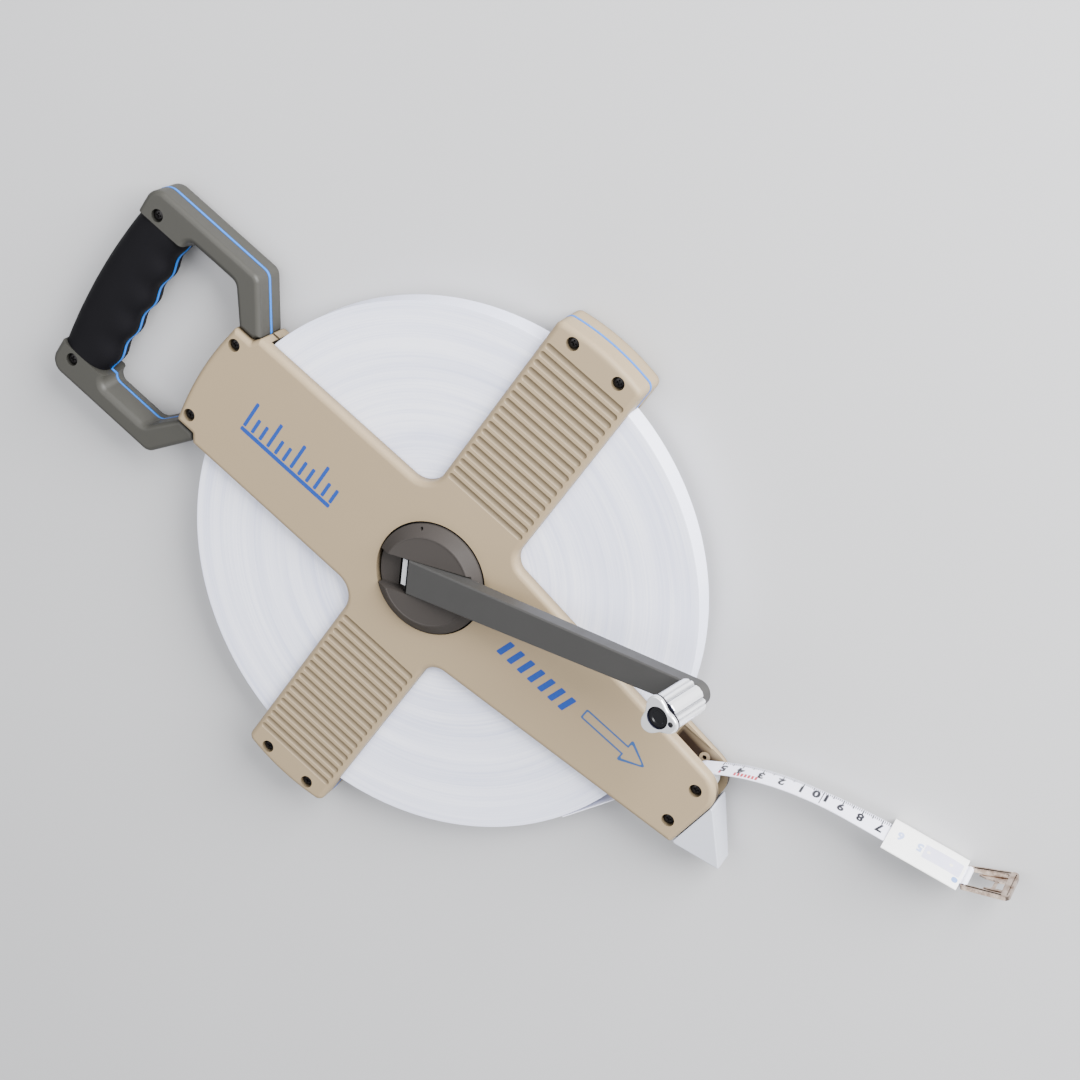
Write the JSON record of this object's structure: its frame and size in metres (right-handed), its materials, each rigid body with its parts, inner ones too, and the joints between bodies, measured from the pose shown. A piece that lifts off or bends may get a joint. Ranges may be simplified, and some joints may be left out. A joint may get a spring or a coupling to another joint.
{
  "type": "surveyor tape reel",
  "caption": "Open-frame surveyor's tape reel with a D handle, folding crank, tape roll, guide roller, ground spike and a free tape end with a ring.",
  "frame": {"origin": "on the reel's spin axis, in the plane of the flat rear face that the reel lies on", "axes": "+Z along the spin axis, out of the front face with the crank; +X towards the mouth and the ground spike; -X is the D handle; the two ribbed arms run along +Y and -Y"},
  "size_m": [0.5251, 0.304, 0.0927],
  "materials": {
    "frame": "satin",
    "handle": "satin",
    "grip": "matt",
    "seam": "satin",
    "hub": "satin",
    "crank": "satin",
    "chrome": "polished",
    "screw": "blackened",
    "drum": "satin",
    "tape": "satin",
    "roller": "satin",
    "spike": "satin",
    "sleeve": "milky",
    "nickel": "polished"
  },
  "bodies": {
    "frame": {"front_frame": "frame", "rear_frame": "frame", "seam_insert_upper": "seam", "seam_insert_lower": "seam", "handle_seam_insert": "seam", "screw_upper_left": "screw", "screw_upper_right": "screw", "screw_lower_left": "screw", "screw_lower_right": "screw", "screw_handle_upper": "screw", "screw_handle_lower": "screw", "screw_mouth_upper": "screw", "screw_mouth_lower": "screw", "screw_grip_upper": "screw", "screw_grip_lower": "screw", "handle_front": "handle", "handle_rear": "handle", "grip_front": "grip", "grip_rear": "grip", "ground_spike": "spike", "rear_bearing_cap": "hub", "rear_bush": "drum", "tape_strand": "tape", "tape_free": "tape", "end_sleeve": "sleeve", "tape_end_loop": "nickel"},
    "reel": {"spindle": "screw", "drum": "drum", "tape_roll": "tape", "crank_hub": "hub", "hinge_pin": "screw"},
    "crank": {"crank_arm": "crank", "hinge_knuckle": "chrome", "knob_axle": "drum"},
    "knob": {"knob_body": "chrome", "knob_end_cap": "chrome", "knob_nub": "drum"},
    "roller": {"guide_roller": "roller"},
    "ring": {"end_ring": "nickel", "end_claw": "nickel"}
  },
  "joints": [
    {"name": "reel_spin", "type": "hinge", "parent": "frame", "child": "reel", "pos_m": [0, 0, 0.013], "axis": [0, 0, 1], "continuous": true},
    {"name": "crank_fold", "type": "hinge", "parent": "reel", "child": "crank", "pos_m": [-0.01039, -0.00566, 0.02763], "axis": [0.4787, -0.878, 0], "range_deg": [0, 155]},
    {"name": "knob_spin", "type": "hinge", "parent": "crank", "child": "knob", "pos_m": [0.13037, 0.07108, 0.06377], "axis": [-0.1743, -0.095, 0.9801], "continuous": true},
    {"name": "roller_spin", "type": "hinge", "parent": "frame", "child": "roller", "pos_m": [0.1622, 0.0114, 0.013], "axis": [0, 0, 1], "continuous": true},
    {"name": "ring_fold", "type": "hinge", "parent": "frame", "child": "ring", "pos_m": [0.2802, 0.0663, 0.0113], "axis": [0.0517, -0.2014, 0.9781], "range_deg": [-70, 70]}
  ]
}
